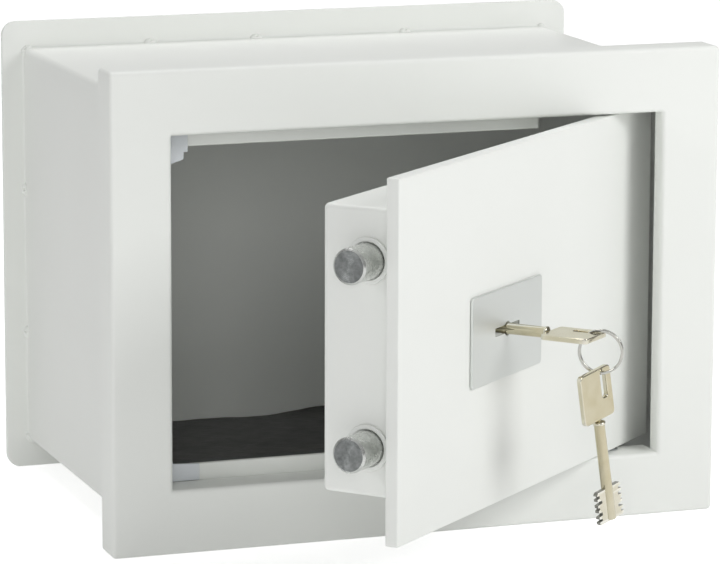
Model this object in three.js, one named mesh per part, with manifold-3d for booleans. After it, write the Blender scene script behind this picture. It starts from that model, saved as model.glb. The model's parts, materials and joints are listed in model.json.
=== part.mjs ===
// Key-operated wall safe: a welded steel box with a folded front frame and a back flange, and a door on
// two pivot pins that carries a double-bit lever lock and two round bolts. Millimetres, +Z up, X to the
// right, +Y into the wall. The origin is the centre of the back plate's outer face. The door stands ajar,
// its bolts are thrown, and a key is in the lock with a spare hanging from its ring.
import * as THREE from 'three';
import { mergeVertices } from 'three/addons/utils/BufferGeometryUtils.js';
import Module from 'manifold-3d';

// ---- driving dimensions ----
const WIDTH = 373;                 // front frame, outside
const HEIGHT = 280;
const DEPTH = 243;                 // front face to back face
const GAP = 0.3;                   // between pieces that touch
const SHEET = 2;                   // frame and wrap sheet
const RETURN_DEPTH = 22.5;         // frame's outer return
const OPENING_W = 300.4;
const OPENING_H = 204.6;
const LIP_LONG = 22;               // inner lip above and below the opening
const LIP_SIDE = 11;               // inner lip at the sides, which the bolts pass behind
const WRAP_W = 344;
const WRAP_H = 246.8;
const BACK_W = 372;
const BACK_T = 3;
const BACK_CORNER = 9;
const STRIP_T = 3;                 // door stop strips behind the long lips
const STRIP_SHOW = 9.5;            // how far they reach into the opening
const STRIP_END = 81;              // they end short of the door's pivot
const GUSSET_T = 1.8;
const MAT_T = 5;

const DOOR_OPEN = THREE.MathUtils.degToRad(41.7);
const HINGE_X = 127.4;
const HINGE_IN = 15.7;             // pivot axis behind the front face, in the middle of the panel
const RECESS = 11.8;               // panel behind the front face, so its hinge edge passes the side lip
const PIN_D = 5;
const PANEL_L = -149;              // door panel edges, door closed
const PANEL_R = 168.4;             // behind the side lip
const PANEL_BOTTOM = -100.4;
const PANEL_TOP = 101.2;
const PANEL_T = 7.8;

const PAN_L = -139.4;              // lock cover behind the panel
const PAN_R = 131;
const PAN_BOTTOM = -76.6;
const PAN_TOP = 82.7;
const PAN_BACK = 51.7;
const PAN_T = 1.5;

const KEY_X = -23;                 // key axis
const KEY_Z = -1.4;
const SLOT_W = 30;                 // keyhole through escutcheon and panel
const SLOT_H = 4.6;
const ESC_W = 86;
const ESC_H = 51.5;
const ESC_T = 1.4;

const BOLT_D = 20;
const BOLT_IN = 23.5;              // bolt axis behind the panel's face
const BOLT_FACE = -161.4;
const BOLT_TAIL = -112;
const BOLT_MID_Z = 2.15;
const BOLT_HALF = 51.45;           // half the distance between bolts
const CRANK = 10;                  // drive pin radius; the throw is twice this

const KEY_BOW_W = 27;
const KEY_BOW_L = 29;
const KEY_T = 3;
const KEY_SHANK = 59.2;            // bow to tip
const KEY_BITS_W = 22;
const KEY_BITS_L = 19.2;
const KEY_OUT = 28;                // bow's inner end in front of the panel
const KEY_EYE_X = 6.5;             // slot in the bow, beside its middle
const KEY_EYE_W = 5;
const KEY_EYE_L = 15;
const KEY_EYE_BAR = 2.4;           // metal left at the bow's end
const RING_R = 12;
const RING_WIRE = 0.8;
const RING_TURN = THREE.MathUtils.degToRad(-72.5);
const SPARE_TILT = [-4, -8.5, -12.1].map(THREE.MathUtils.degToRad);

// ---- materials ----
const finish = (color, roughness, metalness) => new THREE.MeshStandardMaterial({ color, roughness, metalness });
const powderCoat = finish(0xe6e8e4, 0.45, 0.0);
const primer = finish(0xc9d2da, 0.5, 0.0);
const satinAluminium = finish(0xc6c8c6, 0.4, 0.6);
const turnedSteel = finish(0xb4b4b0, 0.3, 1.0);
const zincPlate = finish(0xbfc2bf, 0.4, 0.9);
const leverBrass = finish(0xb99a52, 0.35, 1.0);
const nickel = finish(0xcdc8af, 0.25, 1.0);
const felt = finish(0x2d2d28, 0.95, 0.0);

// ---- solids ----
const wasm = await Module();
wasm.setup();

function toSolid(geometry) {
  const bare = geometry.clone();
  bare.deleteAttribute('normal');
  bare.deleteAttribute('uv');
  const merged = mergeVertices(bare, 1e-4);
  return new wasm.Manifold(new wasm.Mesh({
    numProp: 3,
    vertProperties: new Float32Array(merged.attributes.position.array),
    triVerts: new Uint32Array(merged.index.array),
  }));
}

function toGeometry(solid) {
  const mesh = solid.getMesh();
  const geometry = new THREE.BufferGeometry();
  geometry.setAttribute('position', new THREE.BufferAttribute(new Float32Array(mesh.vertProperties), 3));
  geometry.setIndex(new THREE.BufferAttribute(new Uint32Array(mesh.triVerts), 1));
  geometry.computeVertexNormals();
  return geometry;
}

const cut = (body, ...tools) => toGeometry(tools.reduce((solid, tool) => solid.subtract(toSolid(tool)), toSolid(body)));
const join = (body, ...more) => toGeometry(more.reduce((solid, other) => solid.add(toSolid(other)), toSolid(body)));

// A box from its lowest to its highest corner.
function block(x0, x1, y0, y1, z0, z1) {
  const box = new THREE.BoxGeometry(x1 - x0, y1 - y0, z1 - z0);
  return box.translate((x0 + x1) / 2, (y0 + y1) / 2, (z0 + z1) / 2);
}

// A round bar along an axis: from and to lie on that axis, and the other two places are given in order.
function bar(axis, radius, from, to, [a, b], sides = 32) {
  const rod = new THREE.CylinderGeometry(radius, radius, to - from, sides);
  const middle = (from + to) / 2;
  if (axis === 'x') return rod.rotateZ(-Math.PI / 2).translate(middle, a, b);
  if (axis === 'y') return rod.translate(a, middle, b);
  return rod.rotateX(Math.PI / 2).translate(a, b, middle);
}

// A flat washer or bush along X, Y or Z.
function bush(axis, outer, inner, from, to, place) {
  return cut(bar(axis, outer, from, to, place), bar(axis, inner, from - 1, to + 1, place));
}

// An outline in X and Z given thickness along Y.
function slab(outline, y0, y1, curveSegments = 8) {
  const solid = new THREE.ExtrudeGeometry(outline, { depth: y1 - y0, bevelEnabled: false, curveSegments });
  return solid.rotateX(Math.PI / 2).translate(0, y1, 0);
}

function roundedOutline(x0, x1, z0, z1, r) {
  const shape = new THREE.Shape();
  shape.moveTo(x0 + r, z0);
  shape.lineTo(x1 - r, z0);
  shape.absarc(x1 - r, z0 + r, r, -Math.PI / 2, 0);
  shape.lineTo(x1, z1 - r);
  shape.absarc(x1 - r, z1 - r, r, 0, Math.PI / 2);
  shape.lineTo(x0 + r, z1);
  shape.absarc(x0 + r, z1 - r, r, Math.PI / 2, Math.PI);
  shape.lineTo(x0, z0 + r);
  shape.absarc(x0 + r, z0 + r, r, Math.PI, Math.PI * 1.5);
  return shape;
}

function add(parent, name, geometry, material) {
  const mesh = new THREE.Mesh(geometry, material);
  mesh.name = name;
  parent.add(mesh);
  return mesh;
}

// ---- groups: y counts inwards, from the front face for the body and from the panel's face for the door ----
const safe = new THREE.Group();
const body = new THREE.Group();
body.position.y = -DEPTH;
safe.add(body);

const door = new THREE.Group();
door.position.set(HINGE_X, -DEPTH + HINGE_IN, 0);
door.rotation.z = DOOR_OPEN;
safe.add(door);

const leaf = new THREE.Group();    // x as if the door were closed
leaf.position.set(-HINGE_X, RECESS - HINGE_IN, 0);
door.add(leaf);

// ---- safe body ----
const halfW = WIDTH / 2;
const halfH = HEIGHT / 2;
const openW = OPENING_W / 2;
const openH = OPENING_H / 2;

function frontFrame() {
  const outer = block(-halfW, halfW, 0, RETURN_DEPTH, -halfH, halfH);
  const hollow = block(-halfW + SHEET, halfW - SHEET, SHEET, RETURN_DEPTH + 1, -halfH + SHEET, halfH - SHEET);
  const opening = block(-openW, openW, -1, RETURN_DEPTH + 1, -openH, openH);
  const lips = [
    block(-openW - SHEET, openW + SHEET, 1, LIP_LONG, openH, openH + SHEET),
    block(-openW - SHEET, openW + SHEET, 1, LIP_LONG, -openH - SHEET, -openH),
    block(-openW - SHEET, -openW, 1, LIP_SIDE, -openH - SHEET, openH + SHEET),
    block(openW, openW + SHEET, 1, LIP_SIDE, -openH - SHEET, openH + SHEET),
  ];
  const fascia = cut(outer, hollow, opening);
  const pinHoles = bar('z', PIN_D / 2 + GAP, -openH - 10, openH + 10, [HINGE_X, HINGE_IN]);
  return cut(join(fascia, ...lips), pinHoles);
}

function bodyWrap() {
  const front = SHEET + GAP;
  const back = DEPTH - BACK_T - GAP;
  const outer = roundedOutline(-WRAP_W / 2, WRAP_W / 2, -WRAP_H / 2, WRAP_H / 2, 5);
  const inner = roundedOutline(
    -WRAP_W / 2 + SHEET, WRAP_W / 2 - SHEET, -WRAP_H / 2 + SHEET, WRAP_H / 2 - SHEET, 3);
  return cut(slab(outer, front, back), slab(inner, front - 1, back + 1));
}

function cornerGusset(side, width, leg) {
  const z = (value) => side * value;
  const edge = openH - GAP;
  const show = openH - STRIP_SHOW;
  const left = -openW + GAP;
  const points = [
    [left, z(edge)], [left + width, z(edge)], [left + width, z(show - 0.4)],
    [left + leg, z(show - 0.6)], [left + 4.4, z(show - 11.5)], [left, z(show - 11.5)],
  ];
  const outline = new THREE.Shape(points.map(([px, pz]) => new THREE.Vector2(px, pz)));
  return slab(outline, LIP_LONG - GAP - GUSSET_T, LIP_LONG - GAP);
}

add(body, 'front_frame', frontFrame(), powderCoat);
add(body, 'body_wrap', bodyWrap(), powderCoat);
const backOutline = roundedOutline(-BACK_W / 2, BACK_W / 2, -halfH, halfH, BACK_CORNER);
add(body, 'back_plate', slab(backOutline, DEPTH - BACK_T, DEPTH), powderCoat);

for (const [place, side, width, leg] of [['top', 1, 15.3, 12], ['bottom', -1, 21.4, 5.4]]) {
  const low = Math.min(side * (openH - STRIP_SHOW), side * (WRAP_H / 2 - SHEET - 3));
  const high = Math.max(side * (openH - STRIP_SHOW), side * (WRAP_H / 2 - SHEET - 3));
  const strip = block(-openW + GAP, STRIP_END, LIP_LONG + GAP, LIP_LONG + GAP + STRIP_T, low, high);
  add(body, `stop_strip_${place}`, strip, powderCoat);
  add(body, `corner_gusset_${place}`, cornerGusset(side, width, leg), primer);
}

const floorZ = -WRAP_H / 2 + SHEET + GAP;
const matSide = WRAP_W / 2 - SHEET - 3;
add(body, 'floor_mat', block(-matSide, matSide, 26, 237, floorZ, floorZ + MAT_T), felt);

// ---- door pivots: a fixed pin and a washer at each end, running in a hole in the panel's edge ----
const PIN_IN = 16;                 // how far a pin reaches into the opening
const PIN_OUT = 6;
for (const [place, side] of [['upper', 1], ['lower', -1]]) {
  const ends = [side * (openH - PIN_IN), side * (openH + PIN_OUT)].sort((a, b) => a - b);
  const washer = [side * (openH - GAP), side * (openH - GAP - 0.5)].sort((a, b) => a - b);
  const axis = [HINGE_X, HINGE_IN];
  add(body, `hinge_pin_${place}`, bar('z', PIN_D / 2, ...ends, axis), turnedSteel);
  add(body, `hinge_washer_${place}`, bush('z', 3.8, PIN_D / 2 + GAP, ...washer, axis), zincPlate);
}

// ---- door panel, escutcheon and lock cover ----
function keyhole(y0, y1) {
  const slot = block(KEY_X - SLOT_W / 2, KEY_X + SLOT_W / 2, y0, y1, KEY_Z - SLOT_H / 2, KEY_Z + SLOT_H / 2);
  return join(slot, bar('y', 4, y0, y1, [KEY_X, KEY_Z], 24));
}

const panel = block(PANEL_L, PANEL_R, 0, PANEL_T, PANEL_BOTTOM, PANEL_TOP);
const pinBores = [-1, 1].map((side) => {
  const ends = [side * (openH - PIN_IN - 1), side * openH].sort((a, b) => a - b);
  return bar('z', PIN_D / 2 + GAP, ...ends, [HINGE_X, HINGE_IN - RECESS]);
});
add(leaf, 'door_panel', cut(panel, keyhole(-1, PANEL_T + 1), ...pinBores), powderCoat);

const escZ = KEY_Z - 1.8;
const escOutline = roundedOutline(KEY_X - ESC_W / 2, KEY_X + ESC_W / 2, escZ - ESC_H / 2, escZ + ESC_H / 2, 2.5);
const escFront = -GAP - ESC_T;
add(leaf, 'escutcheon', cut(slab(escOutline, escFront, -GAP), keyhole(escFront - 1, 1)), satinAluminium);

const boltZ = { upper: BOLT_MID_Z + BOLT_HALF, lower: BOLT_MID_Z - BOLT_HALF };
const studs = [[-125, -70], [-125, 72], [120, -70], [120, 72]];
const COLLAR_BARREL = 11.7;

function doorBox() {
  const shell = block(PAN_L, PAN_R, PANEL_T + GAP, PAN_BACK, PAN_BOTTOM, PAN_TOP);
  const hollow = block(PAN_L + PAN_T, PAN_R - PAN_T, 0, PAN_BACK - PAN_T, PAN_BOTTOM + PAN_T, PAN_TOP - PAN_T);
  const boltHoles = Object.values(boltZ).map(
    (z) => bar('x', COLLAR_BARREL + GAP, PAN_L - 1, PAN_L + PAN_T + 1, [BOLT_IN, z]));
  const screwHoles = studs.map(([x, z]) => bar('y', 1.9, PAN_BACK - PAN_T - 1, PAN_BACK + 1, [x, z], 16));
  return cut(shell, hollow, ...boltHoles, ...screwHoles);
}
add(leaf, 'door_box', doorBox(), powderCoat);

studs.forEach(([x, z], i) => {
  const top = PAN_BACK - PAN_T - GAP;
  const stud = cut(bar('y', 4, PANEL_T + GAP, top, [x, z], 16), bar('y', 1.7, top - 8, top + 1, [x, z], 12));
  add(leaf, `cover_stud_${i + 1}`, stud, zincPlate);
  const head = bar('y', 3.5, PAN_BACK + GAP, PAN_BACK + GAP + 2.2, [x, z], 24);
  const screw = join(head, bar('y', 1.4, top - 7, PAN_BACK + GAP + 1, [x, z], 12));
  add(leaf, `cover_screw_${i + 1}`, screw, zincPlate);
});

// ---- bolts, their collars and the bar that carries them ----
const BAR_Y = BOLT_IN + BOLT_D / 2 + GAP;
const BAR_T = 3;
const SCREW_X = BOLT_TAIL - 7;
for (const [place, z] of Object.entries(boltZ)) {
  const collar = join(
    bush('x', 13, BOLT_D / 2 + GAP, PAN_L - GAP - 1.5, PAN_L - GAP, [BOLT_IN, z]),
    bush('x', COLLAR_BARREL, BOLT_D / 2 + GAP, PAN_L - GAP - 1, PAN_L + 5, [BOLT_IN, z]));
  add(leaf, `bolt_collar_${place}`, collar, powderCoat);

  const r = BOLT_D / 2;
  const length = BOLT_TAIL - BOLT_FACE;
  const profile = [[0, 0], [r - 1, 0], [r, 1], [r, length], [0, length]].map(([a, b]) => new THREE.Vector2(a, b));
  const turned = new THREE.LatheGeometry(profile, 40).rotateZ(-Math.PI / 2).translate(BOLT_FACE, BOLT_IN, z);
  const tapped = cut(turned, bar('y', 3.3, BOLT_IN + 1, BAR_Y + 1, [SCREW_X, z], 16));
  add(leaf, `bolt_${place}`, tapped, turnedSteel);

  const head = bar('y', 5, BAR_Y + BAR_T + GAP, BAR_Y + BAR_T + 3.2, [SCREW_X, z], 24);
  const shank = bar('y', 3, BOLT_IN + 2, BAR_Y + BAR_T + 1, [SCREW_X, z], 16);
  add(leaf, `bolt_screw_${place}`, join(head, shank), zincPlate);
}

const STUD_X = -80;
const STUD_R = 2.5;
const THROW = 2 * CRANK;
function boltBar() {
  const y = [BAR_Y, BAR_Y + BAR_T];
  const pinX = KEY_X - CRANK;
  const cross = block(BOLT_TAIL - 14, BOLT_TAIL, ...y, BOLT_MID_Z - 63, BOLT_MID_Z + 63);
  const tongue = block(BOLT_TAIL - 1, pinX - 5, ...y, KEY_Z - 8, KEY_Z + 8);
  const yoke = block(pinX - 10.8, pinX + 10.8, ...y, KEY_Z - 20, KEY_Z + 20);
  const yokeSlot = block(pinX - 4.8, pinX + 4.8, y[0] - 1, y[1] + 1, KEY_Z - 14, KEY_Z + 14);
  const reach = STUD_R + GAP;
  const guideSlot = block(STUD_X - THROW - reach, STUD_X + reach, y[0] - 1, y[1] + 1, KEY_Z - reach, KEY_Z + reach);
  const screwHoles = Object.values(boltZ).map((z) => bar('y', 3.3, y[0] - 1, y[1] + 1, [SCREW_X, z], 16));
  return cut(join(cross, tongue, yoke), yokeSlot, guideSlot, ...screwHoles);
}
add(leaf, 'bolt_bar', boltBar(), zincPlate);

const studTop = BAR_Y + BAR_T + GAP;
add(leaf, 'guide_stud', join(
  bar('y', 4, PANEL_T + GAP, BAR_Y - GAP, [STUD_X, KEY_Z], 24),
  bar('y', STUD_R, BAR_Y - 1, studTop + 1, [STUD_X, KEY_Z], 24),
  bar('y', 4.5, studTop, studTop + 2, [STUD_X, KEY_Z], 24)), zincPlate);

// ---- lever lock ----
const CASE_X = 38;                 // half sizes about the key axis
const CASE_Z = 36;
const CASE_BASE = PANEL_T + GAP;
const CASE_TOP = 22;
const COVER_T = 1.7;
const lockScrews = [[-32, -30], [-32, 30], [32, -30], [32, 30]];
const around = (halfX, halfZ, y0, y1) => block(KEY_X - halfX, KEY_X + halfX, y0, y1, KEY_Z - halfZ, KEY_Z + halfZ);

const screwTools = lockScrews.map(([x, z]) => bar('y', 2.3, 0, 40, [KEY_X + x, KEY_Z + z], 16));
const tray = cut(
  around(CASE_X, CASE_Z, CASE_BASE, CASE_TOP),
  around(CASE_X - 1.5, CASE_Z - 1.5, CASE_BASE + 1.5, CASE_TOP + 1),
  keyhole(CASE_BASE - 1, CASE_BASE + 3), ...screwTools);
add(leaf, 'lock_case', tray, zincPlate);

const BOSS_R = 12.7;
const coverY = CASE_TOP + GAP;
const coverHole = bar('y', BOSS_R + GAP, coverY - 1, coverY + COVER_T + 1, [KEY_X, KEY_Z]);
const cover = cut(around(CASE_X, CASE_Z, coverY, coverY + COVER_T), coverHole, ...screwTools);
add(leaf, 'lock_cover', cover, zincPlate);

const headY = coverY + COVER_T + GAP;
lockScrews.forEach(([x, z], i) => {
  const place = [KEY_X + x, KEY_Z + z];
  const screw = join(bar('y', 3.7, headY, headY + 2.4, place, 24), bar('y', 2, CASE_BASE + GAP, headY + 1, place, 16));
  add(leaf, `lock_screw_${i + 1}`, screw, zincPlate);
});

const LEVER_T = 1.8;
const LEVER_PITCH = 2.6;
const LEVER_FIRST = 12.2;
for (let i = 0; i < 4; i += 1) {
  const y = LEVER_FIRST + i * LEVER_PITCH;
  const window = bar('y', 12.7, y - 1, y + LEVER_T + 1, [KEY_X, KEY_Z]);
  const gate = block(KEY_X - 31, KEY_X - 22, y - 1, y + LEVER_T + 1, KEY_Z - 2 - i, KEY_Z + 3 - i);
  add(leaf, `lever_${i + 1}`, cut(around(30, 17, y, y + LEVER_T), window, gate), leverBrass);
}
for (const [place, side] of [['left', -1], ['right', 1]]) {
  const x = [KEY_X + side * 30.4, KEY_X + side * 33.4].sort((a, b) => a - b);
  const guide = block(...x, CASE_BASE + 1.5 + GAP, CASE_TOP, KEY_Z - 16, KEY_Z + 16);
  add(leaf, `lever_guide_${place}`, guide, zincPlate);
}
add(leaf, 'lever_spring', join(
  block(KEY_X - 24, KEY_X + 24, 12, 21.6, KEY_Z + 18.6, KEY_Z + 19.2),
  block(KEY_X - 24, KEY_X - 23.4, 12, 21.6, KEY_Z + 19, KEY_Z + 34)), turnedSteel);

const CAM_FRONT = 24.6;
const CAM_BACK = BAR_Y - 0.4;
const bitSlot = around(KEY_BITS_W / 2 + 0.6, 2, 20, KEY_SHANK - KEY_OUT + GAP);
const camTurned = join(
  bar('y', 17, CAM_FRONT, CAM_BACK, [KEY_X, KEY_Z], 40),
  bar('y', BOSS_R, CASE_TOP + GAP, CAM_FRONT + 1, [KEY_X, KEY_Z], 40),
  bar('y', 2.5, CAM_BACK - 1, BAR_Y + BAR_T + 0.8, [KEY_X - CRANK, KEY_Z], 24));
const shankHole = bar('y', 3.8, 20, KEY_SHANK - KEY_OUT + GAP, [KEY_X, KEY_Z], 24);
add(leaf, 'lock_cam', cut(camTurned, bitSlot, shankHole), turnedSteel);

// ---- keys: local z runs from the bits to the bow, x across the bow ----
function keySolid() {
  const bow = cut(
    slab(roundedOutline(-KEY_BOW_W / 2, KEY_BOW_W / 2, 0, KEY_BOW_L, 2), -KEY_T / 2, KEY_T / 2),
    slab(roundedOutline(KEY_EYE_X - KEY_EYE_W / 2, KEY_EYE_X + KEY_EYE_W / 2,
      KEY_BOW_L - KEY_EYE_BAR - KEY_EYE_L, KEY_BOW_L - KEY_EYE_BAR, 1.5), -KEY_T, KEY_T));
  const shank = bar('z', 3.3, -KEY_SHANK, 2, [0, 0], 24);
  const collar = bar('z', 4, -3, -1, [0, 0], 24);
  const blade = block(-KEY_BITS_W / 2, KEY_BITS_W / 2, -1.4, 1.4, -KEY_SHANK, -KEY_SHANK + KEY_BITS_L);
  const notches = [];
  for (let i = 0; i < 5; i += 1) {
    const z = -KEY_SHANK + 2 + i * 3.4;
    const deep = [2.2, 4, 1.4, 3.2, 2.6];
    notches.push(block(KEY_BITS_W / 2 - deep[i], KEY_BITS_W, -2, 2, z, z + 1.8));
    notches.push(block(-KEY_BITS_W, -KEY_BITS_W / 2 + deep[4 - i], -2, 2, z, z + 1.8));
  }
  return cut(join(bow, shank, collar, blade), ...notches);
}

const keys = new THREE.Group();
keys.position.set(KEY_X, 0, KEY_Z);
leaf.add(keys);

const key = add(keys, 'key', keySolid(), nickel);
key.rotation.x = Math.PI / 2;
key.position.y = -KEY_OUT;

const eyeBarY = -KEY_OUT - KEY_BOW_L + KEY_EYE_BAR / 2;
const ringCentre = new THREE.Vector3(7.8, eyeBarY, KEY_T / 2 + GAP + RING_WIRE - RING_R + 0.1);
const ring = add(keys, 'key_ring', new THREE.TorusGeometry(RING_R, RING_WIRE, 10, 48).rotateX(Math.PI / 2), nickel);
ring.rotation.z = RING_TURN;
ring.position.copy(ringCentre);

// The spare hangs with the ring's lowest point inside the top of its eye.
const spare = add(keys, 'spare_key', keySolid(), nickel);
spare.rotation.set(...SPARE_TILT, 'XYZ');
const eyeInKey = new THREE.Vector3(KEY_EYE_X, 0, KEY_BOW_L - KEY_EYE_BAR - RING_WIRE - GAP);
const ringBottom = ringCentre.clone().add(new THREE.Vector3(0, 0, -RING_R));
spare.position.copy(ringBottom.sub(eyeInKey.applyEuler(spare.rotation)));

export default safe;
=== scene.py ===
# Key-operated wall safe, its door ajar with the key in the lock. Metres in the scene; each section's own
# sizes are millimetres, with depth counted from the front face into the wall.
import json
import math

import bmesh
import bpy
import numpy as np
from mathutils import Matrix, Vector


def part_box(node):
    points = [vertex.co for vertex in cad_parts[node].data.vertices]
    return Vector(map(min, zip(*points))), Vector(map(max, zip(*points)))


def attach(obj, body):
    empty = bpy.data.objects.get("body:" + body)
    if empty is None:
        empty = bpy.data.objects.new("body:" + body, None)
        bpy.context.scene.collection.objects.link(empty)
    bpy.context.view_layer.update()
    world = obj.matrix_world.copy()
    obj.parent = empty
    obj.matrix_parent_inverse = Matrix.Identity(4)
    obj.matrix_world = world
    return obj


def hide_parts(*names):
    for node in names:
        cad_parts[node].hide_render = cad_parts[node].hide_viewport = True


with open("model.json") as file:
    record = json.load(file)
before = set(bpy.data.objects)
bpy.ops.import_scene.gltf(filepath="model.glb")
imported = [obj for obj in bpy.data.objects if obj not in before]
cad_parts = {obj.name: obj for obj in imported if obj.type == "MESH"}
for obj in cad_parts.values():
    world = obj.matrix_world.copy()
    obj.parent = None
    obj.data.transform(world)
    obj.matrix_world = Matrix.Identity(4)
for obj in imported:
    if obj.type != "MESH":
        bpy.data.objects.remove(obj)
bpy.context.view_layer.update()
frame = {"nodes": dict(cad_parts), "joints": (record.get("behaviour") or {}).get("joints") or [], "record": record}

# ---- Camera -------------------------------------------------------------------------------------------
# A long lens on a tripod, left of the safe and a little above it, aimed down at the open door.
CAMERA_PLACE = (-0.8066, -2.4155, 0.4524)
CAMERA_YAW = math.radians(19.49)
CAMERA_PITCH = math.radians(-10.81)
CAMERA_ROLL = math.radians(0.18)
LENS_MM = 204.0
SENSOR_MM = 36.0
VIEW_END = 50.0

camera_data = bpy.data.cameras.new("camera")
camera_data.lens = LENS_MM
camera_data.sensor_width = SENSOR_MM
camera_data.clip_end = VIEW_END
camera = bpy.data.objects.new("camera", camera_data)
bpy.context.scene.collection.objects.link(camera)
camera_turn = (
    Matrix.Rotation(-CAMERA_YAW, 4, "Z")
    @ Matrix.Rotation(math.pi / 2 + CAMERA_PITCH, 4, "X")
    @ Matrix.Rotation(CAMERA_ROLL, 4, "Z")
)
camera.matrix_world = Matrix.Translation(CAMERA_PLACE) @ camera_turn
bpy.context.scene.camera = camera
bpy.context.scene.view_settings.view_transform = "Standard"


# ---- Front frame --------------------------------------------------------------------------------------
# One steel sheet, laser cut, folded back 22 mm at its rim and inwards round the opening, with the corners
# welded and ground. Long lips above and below hold the pivot pins; the side lips are half as deep.
MM = 0.001
FRONT_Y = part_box("front_frame")[0][1]
SHEET = 2.0
LIP_LONG = 22.0
LIP_SIDE = 11.0
OUTER_FOLD = 2.4
INNER_FOLD = 2.6
FRAME_CORNER = 2.6
OPENING_HALF = np.array([150.2, 102.3])
OPENING_CORNER = 0.8
BREAK = 0.4  # a cut edge after blasting
FLAT = 1.5  # the first flat strip of a face, beside a fold
SHARP_DEG = 35.0
WELD_MM = 0.002  # points nearer than this are one


def span(node):
    """A node's half sizes and centre in X and Z, and its first and last depth, in mm."""
    low, high = (np.array(corner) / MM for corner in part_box(node))
    half = (high - low)[[0, 2]] / 2
    centre = (high + low)[[0, 2]] / 2
    return half, centre, low[1] - FRONT_Y / MM, high[1] - FRONT_Y / MM


def outline(half, radius, centre=(0.0, 0.0), arc=6, side=10):
    """A rounded rectangle as one loop of X and Z: quarter circles of the radius at the four corners, and
    even steps along each straight side between them."""
    half = np.asarray(half, float)
    radius = max(radius, 0.02)
    turn_by = np.linspace(0.0, math.pi / 2, arc + 1)
    starts = np.array([-1, 0, 1, 2])[:, None] * math.pi / 2
    signs = np.array([[1, -1], [1, 1], [-1, 1], [-1, -1]])[:, None, :]
    angles = starts + turn_by[None, :]
    corners = signs * (half - radius) + radius * np.stack([np.cos(angles), np.sin(angles)], -1)
    begins = np.roll(corners[:, :1], -1, axis=0)
    steps = (np.arange(1, side) / side)[None, :, None]
    straights = corners[:, -1:] + (begins - corners[:, -1:]) * steps
    return np.concatenate([corners, straights], axis=1).reshape(-1, 2) + np.asarray(centre)


def at_depth(loop, depth):
    """Gives a loop of X and Z its depth, which may be one number or one for each point."""
    depth = np.broadcast_to(np.asarray(depth, float), loop.shape[:1])
    return np.stack([loop[:, 0], depth, loop[:, 1]], -1)


def skin(rows, closed=False):
    """Points and faces of a skin over rows of equal loops: a quad between each two neighbours. A closed
    skin joins its last row to its first, and an open one has a flat face on each end."""
    rows = np.asarray(rows, float)
    count, ring = rows.shape[:2]
    row = np.arange(count if closed else count - 1)[:, None] * ring
    after = (row + ring) % (count * ring)
    here = np.arange(ring)[None, :]
    beside = (here + 1) % ring
    quads = np.stack([row + here, row + beside, after + beside, after + here], -1).reshape(-1, 4)
    faces = quads.tolist()
    if not closed:
        faces.append(list(range(ring))[::-1])
        faces.append(list(range((count - 1) * ring, count * ring)))
    return rows.reshape(-1, 3), faces


def in_wall(points):
    """Millimetres across, into the wall and up, to the scene's metres."""
    return points * MM + np.array([0.0, FRONT_Y, 0.0])


def piece(name, skins, material, body, nodes, place=in_wall, sharp=SHARP_DEG, second=None):
    """Makes one object from a list of skins, points them outwards, smooths what bends less than the sharp
    angle, hangs it on the body it rides on and hides the CAD nodes it stands for. A skin may end with a
    range of faces that take the second material."""
    mesh = bpy.data.meshes.new(name)
    build = bmesh.new()
    for points, faces, *marked in skins:
        part = bpy.data.meshes.new("part")
        part.from_pydata(place(points).tolist(), [], faces)
        for start, stop in marked:
            part.polygons.foreach_set("material_index", [int(start <= i < stop) for i in range(len(faces))])
        island = bmesh.new()
        island.from_mesh(part)
        bmesh.ops.remove_doubles(island, verts=island.verts, dist=WELD_MM * MM)
        bmesh.ops.dissolve_degenerate(island, edges=island.edges, dist=1e-7)
        bmesh.ops.recalc_face_normals(island, faces=island.faces)
        island.to_mesh(part)
        island.free()
        build.from_mesh(part)
        bpy.data.meshes.remove(part)
    build.to_mesh(mesh)
    build.free()
    mesh.polygons.foreach_set("use_smooth", [True] * len(mesh.polygons))
    mesh.set_sharp_from_angle(angle=math.radians(sharp))
    obj = bpy.data.objects.new(name, mesh)
    bpy.context.scene.collection.objects.link(obj)
    mesh.materials.append(material)
    if second:
        mesh.materials.append(second)
    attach(obj, body)
    if nodes:
        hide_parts(*nodes)
    return obj


def fold(inset, depth, radius, steps=6):
    """A quarter circle between a wall and a face: pairs of inset and depth that start on the wall, radius
    deep, and end on the face, radius in."""
    angle = np.linspace(0.0, math.pi / 2, steps + 1)
    return np.stack([inset + radius * (1 - np.cos(angle)), depth + radius * (1 - np.sin(angle))], -1)


def linear(code):
    """An sRGB hex colour as linear red, green, blue and alpha."""
    value = np.array([int(code[i:i + 2], 16) for i in (0, 2, 4)]) / 255
    value = np.where(value <= 0.04045, value / 12.92, ((value + 0.055) / 1.055) ** 2.4)
    return (*value.tolist(), 1.0)


def put(tree, kind, sockets=None, **settings):
    """Adds a node: settings are its own properties, and each named socket gets a value or a link."""
    node = tree.nodes.new(kind)
    for key, value in settings.items():
        setattr(node, key, value)
    for key, value in (sockets or {}).items():
        if isinstance(value, bpy.types.NodeSocket):
            tree.links.new(value, node.inputs[key])
        else:
            node.inputs[key].default_value = value
    return node


MIX_A = 6  # the two colour sockets of a Mix node
MIX_B = 7


def start_material(name, **surface):
    """A material with one Principled shader, whose sockets take the given values."""
    material = bpy.data.materials.new(name)
    material.use_nodes = True
    tree = material.node_tree
    shader = tree.nodes["Principled BSDF"]
    for key, value in surface.items():
        shader.inputs[key.replace("_", " ")].default_value = value
    return material, tree, shader


# Powder coat: polyester powder baked on blasted steel. It gives a soft gloss with a fine orange peel of
# about a millimetre, and the sheet under it is never quite flat.
ORANGE_PEEL_MM = 1.3
SHEET_WAVE_MM = 90.0
TONE_PATCH_MM = 60.0


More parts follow.
